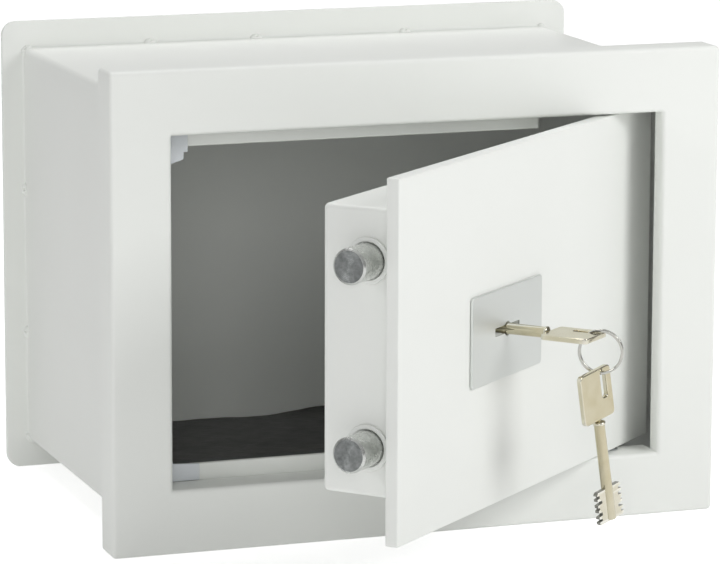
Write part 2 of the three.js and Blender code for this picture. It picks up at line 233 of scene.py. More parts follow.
def powder_coat(name, base, shade):
    """Two close tones in wide patches, under the fine peel and the wide waves of the sheet."""
    material, tree, shader = start_material(name, Roughness=0.42, IOR=1.5)
    place = put(tree, "ShaderNodeTexCoord").outputs["Object"]
    patches = put(tree, "ShaderNodeTexNoise", {"Vector": place, "Scale": 1000 / TONE_PATCH_MM, "Detail": 3.0})
    tone = put(tree, "ShaderNodeMix",
               {"Factor": patches.outputs["Fac"], MIX_A: linear(base), MIX_B: linear(shade)},
               data_type="RGBA")
    tree.links.new(tone.outputs[2], shader.inputs["Base Color"])
    peel = put(tree, "ShaderNodeTexNoise", {"Vector": place, "Scale": 1000 / ORANGE_PEEL_MM, "Detail": 2.0})
    wave = put(tree, "ShaderNodeTexNoise", {"Vector": place, "Scale": 1000 / SHEET_WAVE_MM, "Detail": 1.0})
    fine = put(tree, "ShaderNodeBump",
               {"Height": peel.outputs["Fac"], "Strength": 0.25, "Distance": 0.06 * MM})
    wide = put(tree, "ShaderNodeBump", {
        "Height": wave.outputs["Fac"], "Strength": 0.35, "Distance": 0.8 * MM,
        "Normal": fine.outputs["Normal"]})
    tree.links.new(wide.outputs["Normal"], shader.inputs["Normal"])
    return material


white_coat = powder_coat("powder_coat_white", "F3F5F1", "F0F2EE")
slots = {part["node"]: part["material_slot"] for part in frame["record"]["subparts"]}

frame_half, _, _, return_depth = span("front_frame")


def frame_rows():
    """The folded sheet's section, carried round the frame: up the return, over the outer fold, across the
    face, over the inner fold and down the lip, then back along the inside one sheet away."""
    def rim(inset, depth):
        return at_depth(outline(frame_half - inset, FRAME_CORNER - inset, side=24), depth)

    def mouth(outset, depth):
        return at_depth(outline(OPENING_HALF + outset, OPENING_CORNER + outset, side=24), depth)

    past_edge = np.abs(outline(OPENING_HALF, OPENING_CORNER, side=24)) - OPENING_HALF
    lip = np.where(past_edge[:, 1] >= past_edge[:, 0], LIP_LONG, LIP_SIDE)
    outer = [rim(inset, depth) for inset, depth in fold(0.0, 0.0, OUTER_FOLD)]
    inner = [mouth(outset, depth) for outset, depth in fold(0.0, 0.0, INNER_FOLD)[::-1]]
    inside = SHEET / 2
    return [
        rim(BREAK, return_depth), rim(0.0, return_depth - BREAK), *outer, rim(OUTER_FOLD + FLAT, 0.0),
        mouth(INNER_FOLD + FLAT, 0.0), *inner, mouth(0.0, lip - BREAK), mouth(BREAK, lip),
        mouth(SHEET - BREAK, lip), mouth(SHEET, lip - BREAK), mouth(SHEET, INNER_FOLD + inside),
        mouth(SHEET + inside, SHEET), rim(OUTER_FOLD + inside, SHEET), rim(SHEET, OUTER_FOLD + inside),
        rim(SHEET, return_depth - BREAK), rim(SHEET - BREAK, return_depth),
    ]


piece("front_frame_folded", [skin(frame_rows(), closed=True)], white_coat, "safe_body", ["front_frame"])


# ---- Box wrap and back plate --------------------------------------------------------------------------
# Four walls of 2 mm sheet bent from one strip, and a 3 mm plate cut with rounded corners. The wrap is
# tack-welded to the plate, and the coat over each tack has a pinhole.
WRAP_CORNER = 3.6
PLATE_CORNER = 9.0
PLATE_EDGE = 0.8
RING_FLAT = 0.8  # the first flat strip inside a plate's rounded edge
TACK_LENGTH = 8.0
TACK_RADIUS = 2.6
PIT_RADIUS = 0.55
SEAM = 1.5
SEAM_LAP = 0.6
TACKS_X = (-91.5, -22.4, 76.7)
TACKS_Z = (-54.3, 35.7)
PIT_DEPTH = 1.7

wrap_half, wrap_centre, wrap_front, wrap_back = span("body_wrap")
plate_half, plate_centre, plate_front, plate_back = span("back_plate")


def wrap_rows():
    """The wall's section carried round the box: out along its outer face and back along its inner one."""
    def wall(inset, depth):
        return at_depth(outline(wrap_half - inset, WRAP_CORNER - inset, wrap_centre), depth)

    depths = np.linspace(wrap_front, wrap_back, 12)
    return [*(wall(0.0, d) for d in depths), *(wall(SHEET, d) for d in depths[::-1])]


def slab_rows(half, radius, centre, front, back, edge, arc=6):
    """A flat plate: a small flat ring on the front, the rounded front edge, the rounded back edge and a
    small flat ring on the back. Its two faces close it."""
    def loop(inset, depth):
        return at_depth(outline(np.asarray(half) - inset, radius - inset, centre, arc=arc), depth)

    near = [loop(inset, front + depth) for inset, depth in fold(0.0, 0.0, edge)[::-1]]
    far = [loop(inset, back - depth) for inset, depth in fold(0.0, 0.0, edge)]
    return [loop(edge + RING_FLAT, front), *near, *far, loop(edge + RING_FLAT, back)]


piece("box_wrap_bent", [skin(wrap_rows(), closed=True)], white_coat, "safe_body", ["body_wrap"])
piece("back_plate_cut",
      [skin(slab_rows(plate_half, PLATE_CORNER, plate_centre, plate_front, plate_back, PLATE_EDGE,
                      arc=12))],
      white_coat, "safe_body", ["back_plate"])


def tack(x, z, along, facing):
    """A weld tack: an ellipsoid whose pole faces out of the corner, with a pit pressed in at the pole.
    Along is its long direction and facing the pole's, both as X, depth and Z."""
    polar = np.concatenate([np.linspace(0.0, 0.35, 8), np.linspace(0.45, math.pi, 14)])[:, None]
    round_ = np.linspace(0.0, 2 * math.pi, 28, endpoint=False)[None, :]
    pit = PIT_DEPTH * np.exp(-((TACK_RADIUS * polar / PIT_RADIUS) ** 2))
    ripple = 1.0 + 0.05 * np.sin(5 * round_) * np.sin(polar)
    side = np.cross(along, facing)
    up = (TACK_RADIUS * np.cos(polar) - pit) * np.ones_like(round_)
    across = TACK_RADIUS * np.sin(polar) * np.sin(round_) * ripple
    length = TACK_LENGTH * 0.5 * np.sin(polar) * np.cos(round_) * ripple
    centre = np.array([x, plate_front - 0.4, z])
    points = (centre + up[..., None] * np.asarray(facing) + across[..., None] * side
              + length[..., None] * np.asarray(along))
    return skin(points)


def tacks():
    """Tacks along the four walls and at the four corners of the wrap's back edge."""
    half_x, half_z = wrap_half
    out = math.sqrt(1 / 2)
    third = math.sqrt(1 / 3)
    found = []
    for side in (-1, 1):
        for x in TACKS_X:
            found.append(tack(x, side * half_z, (1, 0, 0), (0, -out, side * out)))
        for z in TACKS_Z:
            found.append(tack(side * half_x, z, (0, 0, 1), (side * out, -out, 0)))
        for top in (-1, 1):
            found.append(tack(side * (half_x - 1.5), top * (half_z - 1.5), (out, 0, -side * top * out),
                              (side * third, -third, top * third)))
    return found


def seam_rows():
    """The coat that fills the seam between wrap and plate: a small hollow fillet carried round the box."""
    sweep = np.linspace(0.0, math.pi / 2, 6)
    outset = SEAM * (1 - np.sin(sweep))
    ahead = SEAM * (1 - np.cos(sweep))
    section = [*zip(outset, ahead), (-SEAM_LAP, SEAM), (-SEAM_LAP, -0.2), (SEAM, -0.2)]
    return [at_depth(outline(wrap_half + out, WRAP_CORNER + out, wrap_centre, side=30), plate_front - up)
            for out, up in section]


welds = piece("tack_welds", [*tacks(), skin(seam_rows(), closed=True)], white_coat, "safe_body", [],
              sharp=60.0)

# ---- Stop strips and corner gussets -------------------------------------------------------------------
# Flat bars behind the long lips that stiffen the opening, ending before the door's pivot, and two small
# stepped plates that close the left corners, left in a pale blue-grey primer.
STRIP_CORNER = 0.8
STRIP_EDGE = 0.5
GUSSET_STEP = 9.6  # from the gusset's outer edge to its step
GUSSET_EDGE = 0.35

for end in ("top", "bottom"):
    strip_half, strip_centre, strip_front, strip_back = span(f"stop_strip_{end}")
    rows = slab_rows(strip_half, STRIP_CORNER, strip_centre, strip_front, strip_back, STRIP_EDGE)
    piece(f"stop_strip_{end}_bar", [skin(rows)], white_coat, "safe_body", [f"stop_strip_{end}"])

# Primer: thin, matt and slightly blue, with a fine tooth.
primer, tree, shader = start_material("zinc_primer", Base_Color=linear("E0E4E8"), Roughness=0.6, IOR=1.45)
place = put(tree, "ShaderNodeTexCoord").outputs["Object"]
tooth = put(tree, "ShaderNodeTexNoise", {"Vector": place, "Scale": 1000 / 0.8, "Detail": 3.0})
tooth_bump = put(tree, "ShaderNodeBump",
                 {"Height": tooth.outputs["Fac"], "Strength": 0.3, "Distance": 0.05 * MM})
tree.links.new(tooth_bump.outputs["Normal"], shader.inputs["Normal"])


def stepped_plate(points, front, back):
    """A flat plate with a cornered outline: one loop in front and the same loop behind."""
    loop = np.array(points, float)
    return skin([at_depth(loop, front), at_depth(loop, back)])


def soften(obj, width, segments=2):
    """Rounds every edge of a cornered piece."""
    bevel = obj.modifiers.new("edges", "BEVEL")
    bevel.width = width * MM
    bevel.segments = segments
    bevel.limit_method = "ANGLE"
    bevel.harden_normals = True


for end, side in (("top", 1), ("bottom", -1)):
    gusset_half, gusset_centre, gusset_front, gusset_back = span(f"corner_gusset_{end}")
    left, right = gusset_centre[0] - gusset_half[0], gusset_centre[0] + gusset_half[0]
    edge = side * (abs(gusset_centre[1]) + gusset_half[1])
    tip = side * (abs(gusset_centre[1]) - gusset_half[1])
    step = edge - side * GUSSET_STEP
    if side > 0:
        corner_points = [(left, edge), (right, edge), (right, step - 2.6), (right - 2.4, step - 2.6),
                         (right - 2.6, step - 6.6), (left, step - 10.9)]
    else:
        corner_points = [(left, edge), (right, edge), (right, step), (left + 5.4, step + 0.8),
                         (left + 4.3, tip), (left, tip)]
    gusset = piece(f"corner_gusset_{end}_plate", [stepped_plate(corner_points, gusset_front, gusset_back)],
                   primer, "safe_body", [f"corner_gusset_{end}"])
    soften(gusset, GUSSET_EDGE)

# ---- Felt mat -----------------------------------------------------------------------------------------
# A loose rectangle of needle-punched felt on the floor, cut by hand, so its edges wander and its back edge
# lifts against the wall.
MAT_THICK = 3.2
MAT_LIFT = 1.6
MAT_TRIM = 1.5  # kept clear of the walls
mat_half, mat_centre, mat_front, mat_back = span("floor_mat")

felt, tree, shader = start_material("needled_felt", Roughness=0.95, IOR=1.45, Sheen_Weight=0.25,
                                    Sheen_Roughness=0.6)
place = put(tree, "ShaderNodeTexCoord").outputs["Object"]
stretch = put(tree, "ShaderNodeMapping", {"Vector": place, "Scale": (0.35, 1.0, 1.0)})
fibre = put(tree, "ShaderNodeTexNoise",
            {"Vector": stretch.outputs["Vector"], "Scale": 1000 / 2.4, "Detail": 6.0, "Roughness": 0.7,
             "Distortion": 0.8})
clump = put(tree, "ShaderNodeTexNoise", {"Vector": place, "Scale": 1000 / 14, "Detail": 3.0})
both = put(tree, "ShaderNodeMath", {0: fibre.outputs["Fac"], 1: clump.outputs["Fac"]}, operation="MULTIPLY")
tone = put(tree, "ShaderNodeValToRGB", {"Fac": both.outputs["Value"]})
tone.color_ramp.elements[0].position = 0.14
tone.color_ramp.elements[0].color = linear("1D1D1B")
tone.color_ramp.elements[1].position = 0.42
tone.color_ramp.elements[1].color = linear("4C4C48")
tree.links.new(tone.outputs["Color"], shader.inputs["Base Color"])
nap = put(tree, "ShaderNodeBump", {"Height": fibre.outputs["Fac"], "Strength": 0.8, "Distance": 0.8 * MM})
tree.links.new(nap.outputs["Normal"], shader.inputs["Normal"])


def mat_rows():
    """The mat's section carried from front to back: each row is a loop over the top and under the mat. The
    top carries small waves, the sides wander by under a millimetre, and the back edge lifts."""
    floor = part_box("floor_mat")[0][2] / MM + 0.2
    depth = np.linspace(mat_front, mat_back - MAT_TRIM, 90)[:, None]
    across = np.linspace(-1.0, 1.0, 130)[None, :]
    wander = 0.8 * np.sin(depth / 17) + 0.5 * np.sin(depth / 7 + 1)
    x = mat_centre[0] + across * (mat_half[0] - MAT_TRIM) + wander * across ** 7
    near_back = np.clip((depth - mat_back + 22) / 20, 0, 1)
    lift = MAT_LIFT * near_back ** 2 * (1.1 + np.sin(x / 31) + 0.4 * np.sin(x / 11))
    waves = (0.35 * np.sin(x / 23 + depth / 41) * np.sin(depth / 29)
             + 0.12 * np.sin(x / 3.1) * np.sin(depth / 2.7))
    side_edge = np.clip((1 - np.abs(across)) * 30, 0, 1) ** 0.5
    edge = side_edge * np.clip((depth - mat_front + 0.2) / 1.5, 0, 1) ** 0.5
    upper = floor + lift + (MAT_THICK + waves) * (0.55 + 0.45 * edge)
    lower = floor + lift * 0.9 + 0 * x
    depth = depth + 0 * x
    over = np.stack([x, depth, upper], -1)
    under = np.stack([x, depth, lower], -1)[:, ::-1]
    return np.concatenate([over, under], axis=1)


mat = piece("felt_floor_mat", [skin(mat_rows())], felt, "safe_body", ["floor_mat"], sharp=80.0)

# ---- Door panel ---------------------------------------------------------------------------------------
# An 8 mm plate with a milled keyhole, its edges just broken before coating. It hangs on two pins that run
# in its edges, well inside the opening, so the closed sizes are turned about the pins to where the door
# stands. Closed, its hinge edge lies behind the side lip.
hinge = next(j for j in frame["joints"] if j["name"] == "door_hinge")
PIN = np.array(hinge["pos_m"])
AJAR = -math.radians(hinge["range_deg"][0])
PANEL_EDGE = 0.8
PANEL_CORNER = 0.9
KEYHOLE_HALF = np.array([15.0, 2.3])
KEYHOLE_ROUND = 4.0
HOLE_BREAK = 0.25


def turned(points, angle):
    """Scene points turned about the hinge pins by an angle."""
    spin = np.array([[math.cos(angle), -math.sin(angle)], [math.sin(angle), math.cos(angle)]])
    out = np.array(points, float)
    out[..., :2] = (out[..., :2] - PIN[:2]) @ spin.T + PIN[:2]
    return out


def on_door(points):
    """Millimetres on the closed door to the scene's metres, with the door ajar."""
    return turned(in_wall(points), AJAR)


def door_span(node):
    """Like span, for a node on the door, measured with the door closed."""
    mesh = frame["nodes"][node].data
    points = np.empty(len(mesh.vertices) * 3)
    mesh.vertices.foreach_get("co", points)
    closed = turned(points.reshape(-1, 3), -AJAR) / MM
    low, high = closed.min(axis=0), closed.max(axis=0)
    half = (high - low)[[0, 2]] / 2
    centre = (high + low)[[0, 2]] / 2
    return half, centre, low[1] - FRONT_Y / MM, high[1] - FRONT_Y / MM


def keyhole(centre, widen=0.0):
    """The keyhole's loop: a slot with square-cut ends, swelling to a circle round the key's shank."""
    loop = outline(KEYHOLE_HALF + widen, 0.5, side=24)
    bulge = np.sqrt(np.clip((KEYHOLE_ROUND + widen) ** 2 - loop[:, 0] ** 2, 0, None))
    loop[:, 1] = np.sign(loop[:, 1]) * np.maximum(np.abs(loop[:, 1]), bulge)
    return loop + centre


def pierced_rows(half, radius, centre, hole_centre, front, back, edge):
    """A plate with a keyhole through it: a closed section from the rim's rounded edges across the front to
    the hole's broken edge, through the hole, and back across the rear."""
    def rim(inset, depth):
        return at_depth(outline(np.asarray(half) - inset, radius - inset, centre, side=24), depth)

    def hole(widen, depth):
        return at_depth(keyhole(hole_centre, widen), depth)

    near = [rim(inset, front + depth) for inset, depth in fold(0.0, 0.0, edge)]
    far = [rim(inset, back - depth) for inset, depth in fold(0.0, 0.0, edge)[::-1]]
    return [
        *near, rim(edge + RING_FLAT, front), hole(0.9, front), hole(HOLE_BREAK, front),
        hole(0.0, front + HOLE_BREAK), hole(0.0, back - HOLE_BREAK), hole(HOLE_BREAK, back),
        rim(edge + RING_FLAT, back), *far,
    ]


key_axis = next(j for j in frame["joints"] if j["name"] == "key_turn")["pos_m"]
key_place = turned(np.array([key_axis]), -AJAR)[0] / MM
KEY_CENTRE = key_place[[0, 2]]
panel_half, panel_centre, panel_front, panel_back = door_span("door_panel")
rows = pierced_rows(panel_half, PANEL_CORNER, panel_centre, KEY_CENTRE, panel_front, panel_back, PANEL_EDGE)
piece("door_panel_milled", [skin(rows, closed=True)], white_coat, "door", ["door_panel"], on_door)

# ---- Escutcheon ---------------------------------------------------------------------------------------
# A thin rolled aluminium plate, satin anodised, stuck over the keyhole. It gives an even grey with very
# fine lines along its length.
ESC_CORNER = 2.5
ESC_EDGE = 0.35
LINE_MM = 0.5

satin, tree, shader = start_material("satin_anodised_aluminium", Base_Color=linear("E4E7E4"), Metallic=0.75,
                                     Roughness=0.46)
place = put(tree, "ShaderNodeTexCoord").outputs["Object"]
lines = put(tree, "ShaderNodeMapping",
            {"Vector": place, "Rotation": (0.0, 0.0, -AJAR), "Scale": (0.02, 1.0, 1.0)})
grain = put(tree, "ShaderNodeTexNoise",
            {"Vector": lines.outputs["Vector"], "Scale": 1000 / LINE_MM, "Detail": 2.0})
grain_bump = put(tree, "ShaderNodeBump",
                 {"Height": grain.outputs["Fac"], "Strength": 0.12, "Distance": 0.03 * MM})
tree.links.new(grain_bump.outputs["Normal"], shader.inputs["Normal"])

esc_half, esc_centre, esc_front, esc_back = door_span("escutcheon")
rows = pierced_rows(esc_half, ESC_CORNER, esc_centre, KEY_CENTRE, esc_front, esc_back, ESC_EDGE)
piece("escutcheon_plate", [skin(rows, closed=True)], satin, "door", ["escutcheon"], on_door)

# ---- Door box -----------------------------------------------------------------------------------------
# The sheet cover over lock and bolts: a pan with bent, welded corners, held to the panel by four screws.
PAN_SHEET = 1.5
PAN_BEND = 3.0


def pan_rows():
    """The pan's section: the inner floor, its inner bend and wall, the rim, then the outer wall, outer bend
    and back."""
    half, centre, front, back = door_span("door_box")

    def loop(inset, depth):
        return at_depth(outline(half - inset, PAN_BEND - inset, centre, side=16), depth)

    outer = [loop(inset, back - depth) for inset, depth in fold(0.0, 0.0, PAN_BEND)]
    inside = back - PAN_SHEET
    inner_bend = fold(0.0, 0.0, PAN_BEND - PAN_SHEET)[::-1]
    inner = [loop(PAN_SHEET + inset, inside - depth) for inset, depth in inner_bend]
    return [loop(PAN_BEND + 2, inside), *inner, loop(PAN_SHEET, front), loop(0.0, front), *outer,
            loop(PAN_BEND + 1.0, back)]


piece("door_box_pan", [skin(pan_rows())], white_coat, "door", ["door_box"], on_door)

# ---- Bolts and their collars --------------------------------------------------------------------------
# Two 20 mm bars of bright steel, faced and chamfered on a lathe, sliding in coated collars pressed into the
# pan's side.
CUT_PITCH_MM = 0.9  # coarser than the real 0.2 mm feed, so that it shows
STAIN_MM = 3.5
FACE_STEPS = 72
COLLAR_R = 13.0
COLLAR_BARREL_R = 11.7
COLLAR_FLANGE = 1.1
BOLT_PLAY = 0.45


def steel(name, light, dark, smooth, dull):
    """Steel whose tone and roughness wander between two values over a few millimetres."""
    material, tree, shader = start_material(name, Metallic=1.0)
    place = put(tree, "ShaderNodeTexCoord").outputs["Object"]
    wear = put(tree, "ShaderNodeTexNoise",
               {"Vector": place, "Scale": 1000 / STAIN_MM, "Detail": 5.0, "Roughness": 0.65})
    blotch = put(tree, "ShaderNodeMapRange",
                 {"Value": wear.outputs["Fac"], "From Min": 0.28, "From Max": 0.72})
    tone = put(tree, "ShaderNodeMix",
               {"Factor": blotch.outputs["Result"], MIX_A: linear(light), MIX_B: linear(dark)},
               data_type="RGBA")
    tree.links.new(tone.outputs[2], shader.inputs["Base Color"])
    rough = put(tree, "ShaderNodeMapRange",
                {"Value": wear.outputs["Fac"], "To Min": smooth, "To Max": dull})
    tree.links.new(rough.outputs["Result"], shader.inputs["Roughness"])
    return material


# Bright drawn bar: a soft mirror. The faced end is rougher from the lathe's marks, and its darker grey is
# painted shade that stands in for the dark surroundings it reflects.
turned_steel = steel("turned_bright_steel", "E0E2DF", "C4C6C3", 0.2, 0.36)
bolt_end_painted_shade = steel("bolt_end_steel_painted_shade", "999C9B", "686B6B", 0.26, 0.46)


def lathe(profile, axis_place, start, sides=64, direction=(1, 0, 0)):
    """A profile of radius and distance along the axis, spun about the axis through axis_place."""
    profile = np.asarray(profile, float)
    direction = np.asarray(direction, float)
    helper = np.array([0.0, 0.0, 1.0]) if abs(direction[2]) < 0.5 else np.array([0.0, 1.0, 0.0])
    one = np.cross(helper, direction)
    two = np.cross(direction, one)
    angle = np.linspace(0, 2 * math.pi, sides, endpoint=False)[None, :, None]
    radius, along = profile[:, :1, None], profile[:, 1:, None] + start
    return (np.asarray(axis_place, float) + direction * along
            + radius * (np.cos(angle) * one + np.sin(angle) * two))


def bolt_profile(radius, length):
    """A faced end with a small centre pip and ring-shaped tool marks, a chamfer, and a plain rear end."""
    r = np.linspace(0.02, radius - 1.2, FACE_STEPS)
    marks = 0.05 * np.sin(2 * math.pi * r / CUT_PITCH_MM) * np.clip(r / 1.5, 0, 1)
    dish = 0.25 * np.exp(-((r / 0.9) ** 2))
    face = np.stack([r, marks + dish], -1)
    chamfer = np.array([[radius - 1.05, 0.02], [radius - 0.12, 0.95], [radius, 1.1], [radius, 1.6]])
    rear = np.array([[radius, length - 0.6], [radius - 0.5, length - 0.1], [radius - 0.8, length],
                     [0.02, length]])
    return np.concatenate([face, chamfer, rear])


def collar_profile(outer, inner, barrel, flange, length):
    """A closed section: the flange's rounded rim, the bore, and the barrel that sits in the wall."""
    bend = 0.55
    rim = np.stack([outer - bend + bend * np.sin(np.linspace(0, math.pi / 2, 5)),
                    bend - bend * np.cos(np.linspace(0, math.pi / 2, 5))], -1)
    mouth = np.array([[inner + 0.4, 0.0], [inner, 0.4], [inner, length], [barrel, length], [barrel, flange],
                      [outer, flange]])
    return np.concatenate([rim[::-1], mouth])


for end in ("upper", "lower"):
    bolt_half, bolt_centre, bolt_near, bolt_far = door_span(f"bolt_{end}")
    collar_half, collar_centre, _, _ = door_span(f"bolt_collar_{end}")
    radius = bolt_half[1]
    axis_place = (0.0, (bolt_near + bolt_far) / 2, bolt_centre[1])
    bolt_start = bolt_centre[0] - bolt_half[0]
    collar_start = collar_centre[0] - collar_half[0]
    points = lathe(bolt_profile(radius, 2 * bolt_half[0]), axis_place, bolt_start)
    # The faced end's faces take the darker steel, which is painted shade.
    faced = (0, (FACE_STEPS - 1) * points.shape[1])
    piece(f"bolt_{end}_bar", [(*skin(points), faced)], turned_steel, "boltwork", [f"bolt_{end}"], on_door,
          sharp=20.0, second=bolt_end_painted_shade)
    collar = collar_profile(COLLAR_R, radius + BOLT_PLAY, COLLAR_BARREL_R, COLLAR_FLANGE, 2 * collar_half[0])
    points = lathe(collar, axis_place, collar_start)
    piece(f"bolt_collar_{end}_ring", [skin(points, closed=True)], white_coat, "door",
          [f"bolt_collar_{end}"], on_door)

# ---- Screws of the door box ---------------------------------------------------------------------------
# Zinc-plated pan heads with a cross recess, bright and faintly blue.
HEAD_HEIGHT = 2.2
SPANGLE_MM = 4.0

zinc, tree, shader = start_material("zinc_plate", Metallic=1.0, Roughness=0.34)
place = put(tree, "ShaderNodeTexCoord").outputs["Object"]
spangle = put(tree, "ShaderNodeTexNoise", {"Vector": place, "Scale": 1000 / SPANGLE_MM, "Detail": 4.0})
tone = put(tree, "ShaderNodeMix",
           {"Factor": spangle.outputs["Fac"], MIX_A: linear("B4B8BB"), MIX_B: linear("CDD0D1")},
           data_type="RGBA")
tree.links.new(tone.outputs[2], shader.inputs["Base Color"])


def pan_head(radius, height):
    """A domed head: a quarter ellipse from the rim to the crown, on a short shank."""
    angle = np.linspace(0.0, math.pi / 2, 10)
    dome = np.stack([radius * np.cos(angle), 0.35 * height + 0.65 * height * np.sin(angle)], -1)
    dome[-1, 0] = 0.02
    return np.concatenate([[[0.02, -5.0], [1.4, -5.0], [1.4, 0.0], [radius, 0.0]], dome])


def recess(place, depth, reach=1.9, width=0.75):
    """Two crossed bars for the recess, which is not cut: slots of painted shade let into the crown."""
    bars = []
    for turn_by in (math.pi / 4, -math.pi / 4):
        spin = np.array([[math.cos(turn_by), math.sin(turn_by)], [-math.sin(turn_by), math.cos(turn_by)]])
        loop = outline((reach, width / 2), 0.3, side=2) @ spin + np.asarray(place)
        bars.append(skin([at_depth(loop, depth), at_depth(loop, depth + 0.25)]))
    return bars


# Recess: a flat dark grey, painted shade where the cross recess would lie in shadow.
painted_recess_shade, _, _ = start_material("recess_painted_shade", Base_Color=linear("26262A"), Metallic=0.3, Roughness=0.7)

for i in range(1, 5):
    head_half, head_centre, _, head_far = door_span(f"cover_screw_{i}")
    points = lathe(pan_head(head_half[1], HEAD_HEIGHT), (head_centre[0], 0.0, head_centre[1]),
                   head_far - HEAD_HEIGHT, sides=32, direction=(0, 1, 0))
    piece(f"cover_screw_{i}_head", [skin(points)], zinc, "door", [f"cover_screw_{i}"], on_door)
    cross = piece(f"cover_screw_{i}_recess", recess(head_centre, head_far - 0.12), painted_recess_shade, "door", [],
                  on_door)

# ---- Keys ---------------------------------------------------------------------------------------------
# Double-bit keys: a flat stamped bow on a turned shank with a small collar, and a blade cut in steps on
# both sides, all barrel-polished and nickel plated, which gives a warm mirror. The paler edges are partly
# polishing wear and partly a painted highlight for the glints the edges catch.
BOW_HALF = np.array([13.5, 14.5])
BOW_THICK = 3.0
BOW_CORNER = 2.6
EYE_HALF = np.array([2.5, 7.5])
EYE_X = 6.5
EYE_BAR = 2.4
SHANK_R = 3.3
SHANK_LENGTH = 59.2
BLADE_HALF = 11.0
BLADE_TOP = -SHANK_LENGTH + 19.2
BLADE_THICK = 2.7
NOTCH_FIRST = 2.9
NOTCH_PITCH = 3.4
NOTCH_WIDTH = 2.0
KEY_OUT = 28.0
RING_R = 12.0
RING_TURN = math.radians(-72.5)
SPARE_TILT = [math.radians(a) for a in (-4.0, -8.5, -12.1)]
CLOUD_MM = 9.0
DENT_MM = 1.6
BOW_EDGE = 0.55
KEY_BEVEL = 0.3

nickel, tree, shader = start_material("nickel_plate_barrel_polished", Metallic=1.0, Roughness=0.24)
place = put(tree, "ShaderNodeTexCoord").outputs["Object"]
cloud = put(tree, "ShaderNodeTexNoise", {"Vector": place, "Scale": 1000 / CLOUD_MM, "Detail": 3.0})
tone = put(tree, "ShaderNodeMix",
           {"Factor": cloud.outputs["Fac"], MIX_A: linear("BFB593"), MIX_B: linear("D6D0BB")},
           data_type="RGBA")
# Paler edges where the surface bends sharply: partly polishing wear, partly a painted highlight.
edge_bend = put(tree, "ShaderNodeNewGeometry").outputs["Pointiness"]
edges_worn_and_highlit = put(tree, "ShaderNodeMapRange", {"Value": edge_bend, "From Min": 0.51, "From Max": 0.57})
bright = put(tree, "ShaderNodeMix",
             {"Factor": edges_worn_and_highlit.outputs["Result"], MIX_A: tone.outputs[2], MIX_B: linear("F4F3EC")},
             data_type="RGBA")
tree.links.new(bright.outputs[2], shader.inputs["Base Color"])
polish = put(tree, "ShaderNodeTexNoise", {"Vector": place, "Scale": 1000 / DENT_MM, "Detail": 4.0})
rough = put(tree, "ShaderNodeMapRange",
            {"Value": polish.outputs["Fac"], "To Min": 0.08, "To Max": 0.2})
tree.links.new(rough.outputs["Result"], shader.inputs["Roughness"])
dents = put(tree, "ShaderNodeBump",
            {"Height": polish.outputs["Fac"], "Strength": 0.15, "Distance": 0.05 * MM})
tree.links.new(dents.outputs["Normal"], shader.inputs["Normal"])


def bow_rows():
    """The bow's section, from its rounded rim across the front to the eye's edge, through the eye and back
    across the rear. The bow's base is at height zero."""
    centre = np.array([0.0, BOW_HALF[1]])
    eye_centre = np.array([EYE_X, 2 * BOW_HALF[1] - EYE_BAR - EYE_HALF[1]])
    edge = BOW_EDGE
    front, back = -BOW_THICK / 2, BOW_THICK / 2

    def rim(inset, depth):
        return at_depth(outline(BOW_HALF - inset, BOW_CORNER - inset, centre), depth)

    def eye(widen, depth):
        return at_depth(outline(EYE_HALF + widen, 1.6 + widen, eye_centre), depth)

    near = [rim(inset, front + depth) for inset, depth in fold(0.0, 0.0, edge, 4)]
    far = [rim(inset, back - depth) for inset, depth in fold(0.0, 0.0, edge, 4)[::-1]]
    return [*near, rim(edge + 0.4, front), eye(0.8, front), eye(0.4, front), eye(0.1, front + 0.12),
            eye(0.0, front + 0.4), eye(0.0, back - 0.4), eye(0.1, back - 0.12), eye(0.4, back),
            eye(0.8, back), rim(edge + 0.4, back), *far]


def shank_profile():
    """A plain round shank with a domed tip, and a collar like a half-round bead under the bow."""
    tip = np.linspace(0.0, math.pi / 2, 6)
    dome = np.stack([np.maximum(SHANK_R * np.sin(tip), 0.02), -SHANK_LENGTH + 0.7 * (1 - np.cos(tip))], -1)
    bead = np.linspace(math.pi, 0.0, 9)
    collar = np.stack([SHANK_R - 0.2 + 0.6 * np.sin(bead), -1.9 + 0.9 * np.cos(bead)], -1)
    top = np.array([[SHANK_R - 0.6, -0.85], [1.9, -0.35], [1.42, -0.15], [1.42, 0.8], [0.02, 0.8]])
    return np.concatenate([dome, collar, top])


def blade_loop():
    """The blade's outline: down one side and up the other. Each side is cut with five notches of different
    depth at an even pitch, with sloping walls."""
    depths = np.array([2.2, 4.0, 1.4, 3.2, 2.6])
    widths_at = np.array([0.8, 1.15, 0.7, 1.05, 0.9])[:, None] * NOTCH_WIDTH
    middles = -SHANK_LENGTH + NOTCH_FIRST + NOTCH_PITCH * np.arange(5)
    slope = np.array([-0.5, -0.34, 0.3, 0.5]) * widths_at
    cut = np.array([0.0, 1.0, 1.0, 0.0])

    def side(order):
        heights = (middles[:, None] + slope).ravel()
        widths = (BLADE_HALF - order[:, None] * cut).ravel()
        ends = [[BLADE_HALF - 0.9, -SHANK_LENGTH], [BLADE_HALF, -SHANK_LENGTH + 0.9]]
        return np.concatenate([ends, np.stack([widths, heights], -1),
                               [[BLADE_HALF, BLADE_TOP - 1.2], [BLADE_HALF - 1.2, BLADE_TOP]]])

    left = side(depths[::-1])[::-1] * np.array([-1.0, 1.0])
    return np.concatenate([side(depths), left])


def key_skins():
    """Bow, shank and blade. The blade's walls take the second material, and its two flat faces the first."""
    points, faces = stepped_plate(blade_loop(), -BLADE_THICK / 2, BLADE_THICK / 2)
    shank = skin(lathe(shank_profile(), (0, 0, 0), 0.0, sides=40, direction=(0, 0, 1)))
    return [skin(bow_rows(), closed=True), shank, (points, faces, (0, len(faces) - 2))]


def from_key(matrix):
    """Takes a key's own millimetres, bits down and bow up, to its place on the door."""
    turn_by, shift = np.array(matrix.to_3x3()), np.array(matrix.translation)
    return lambda points: on_door(points @ turn_by.T + shift)


